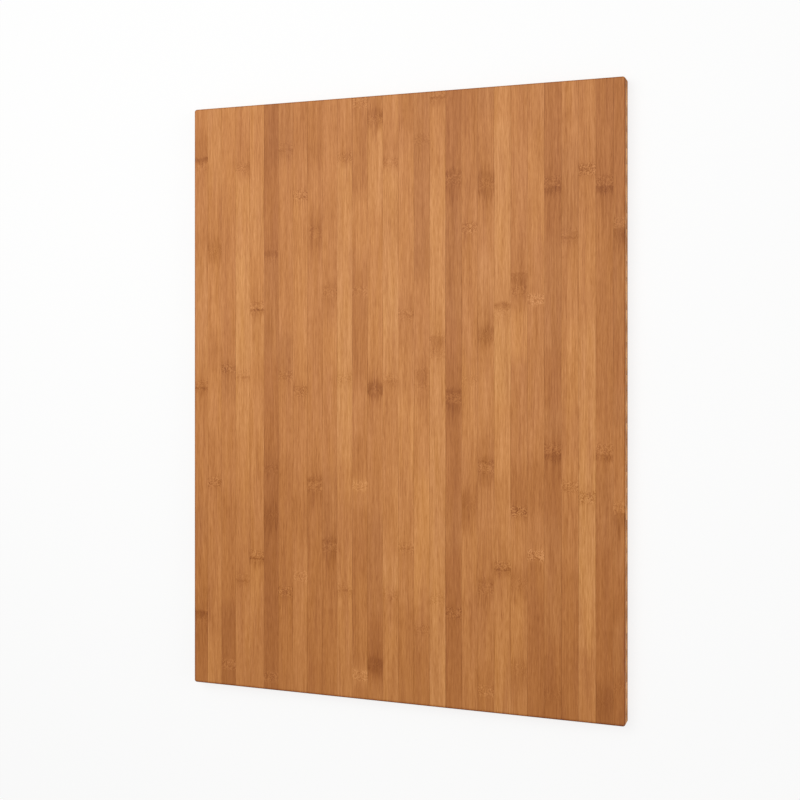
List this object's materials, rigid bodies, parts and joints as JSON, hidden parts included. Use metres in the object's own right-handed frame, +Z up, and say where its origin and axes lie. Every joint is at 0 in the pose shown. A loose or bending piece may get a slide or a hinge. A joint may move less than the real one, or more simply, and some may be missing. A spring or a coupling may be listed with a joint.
{
  "type": "bamboo panel",
  "caption": "Flat cross-laminated bamboo panel: strips side by side along both faces over a crosswise strip core, with rounded corners and eased arrises.",
  "frame": {"origin": "middle of the panel's underside, which lies on the floor", "axes": "+X across the face strips, +Y along the face strips, +Z up out of the face"},
  "size_m": [0.6, 0.8, 0.02],
  "materials": {
    "bamboo_face": "satin",
    "bamboo_core": "matte",
    "bamboo_back": "satin"
  },
  "bodies": {
    "root": {"face_strip_01": "bamboo_face", "face_strip_02": "bamboo_face", "face_strip_03": "bamboo_face", "face_strip_04": "bamboo_face", "face_strip_05": "bamboo_face", "face_strip_06": "bamboo_face", "face_strip_07": "bamboo_face", "face_strip_08": "bamboo_face", "face_strip_09": "bamboo_face", "face_strip_10": "bamboo_face", "face_strip_11": "bamboo_face", "face_strip_12": "bamboo_face", "face_strip_13": "bamboo_face", "face_strip_14": "bamboo_face", "face_strip_15": "bamboo_face", "face_strip_16": "bamboo_face", "face_strip_17": "bamboo_face", "face_strip_18": "bamboo_face", "face_strip_19": "bamboo_face", "face_strip_20": "bamboo_face", "face_strip_21": "bamboo_face", "face_strip_22": "bamboo_face", "face_strip_23": "bamboo_face", "face_strip_24": "bamboo_face", "face_strip_25": "bamboo_face", "face_strip_26": "bamboo_face", "face_strip_27": "bamboo_face", "face_strip_28": "bamboo_face", "core_strips": "bamboo_core", "back_strips": "bamboo_back"}
  },
  "joints": []
}
